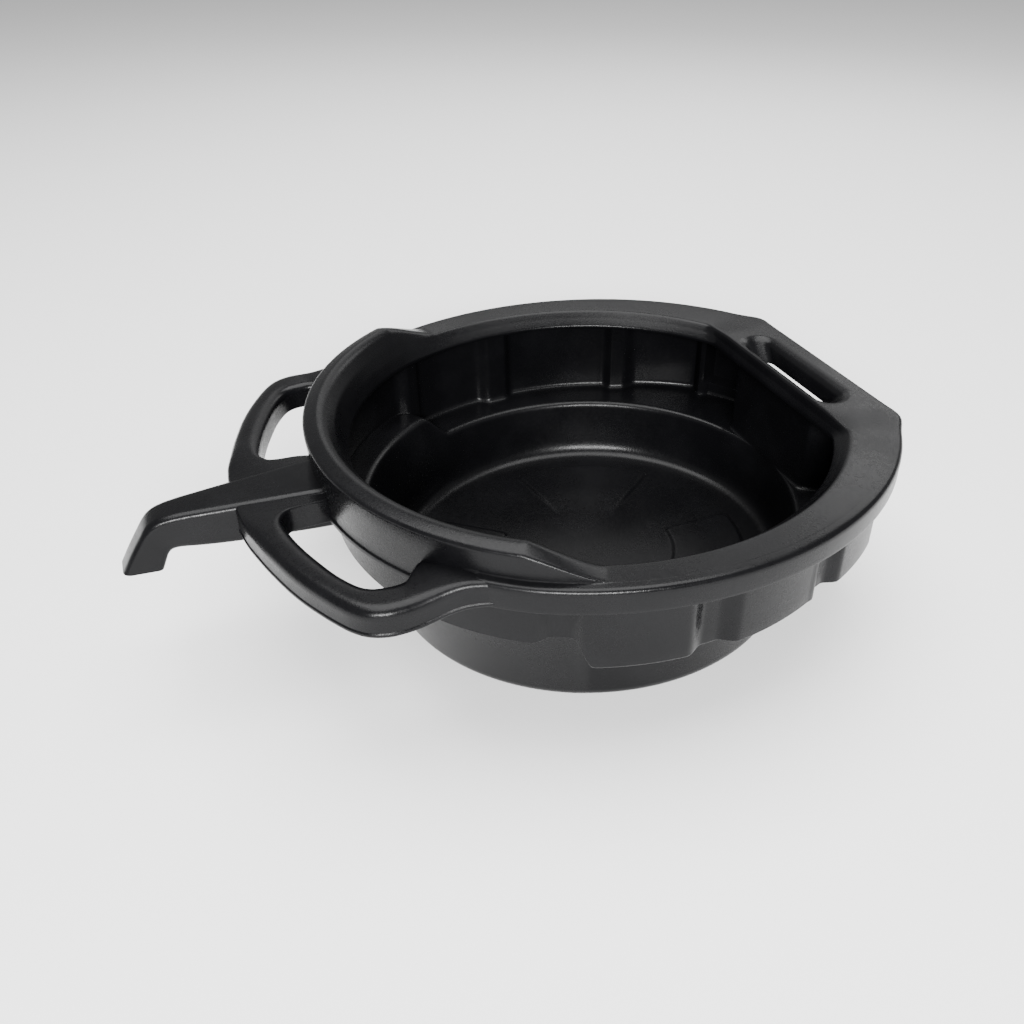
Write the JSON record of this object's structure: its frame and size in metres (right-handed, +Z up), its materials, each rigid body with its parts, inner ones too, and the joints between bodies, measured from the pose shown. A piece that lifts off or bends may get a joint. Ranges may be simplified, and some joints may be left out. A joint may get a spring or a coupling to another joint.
{
  "type": "oil drain pan",
  "caption": "Wide shallow moulded plastic drain pan with a stepped basin, raised splash guard, long open pouring spout, loop handles and a rear hand slot.",
  "frame": {"origin": "centre of the flat base, on the floor", "axes": "+X towards the rear hand slot with the spout along -X, +Y towards one loop handle, +Z up out of the basin"},
  "size_m": [0.6, 0.46, 0.18],
  "materials": {
    "plastic": "black satin polyethylene with a fine moulded grain"
  },
  "bodies": {
    "root": {"sump_floor": "plastic", "floor_pad_1": "plastic", "floor_pad_2": "plastic", "floor_pad_3": "plastic", "floor_pad_4": "plastic", "sump_wall": "plastic", "low_ledge": "plastic", "high_ledge": "plastic", "upper_wall": "plastic", "near_rim": "plastic", "far_rim": "plastic", "rear_grip": "plastic", "splash_guard": "plastic", "near_handle": "plastic", "far_handle": "plastic", "pour_spout": "plastic"}
  },
  "joints": []
}
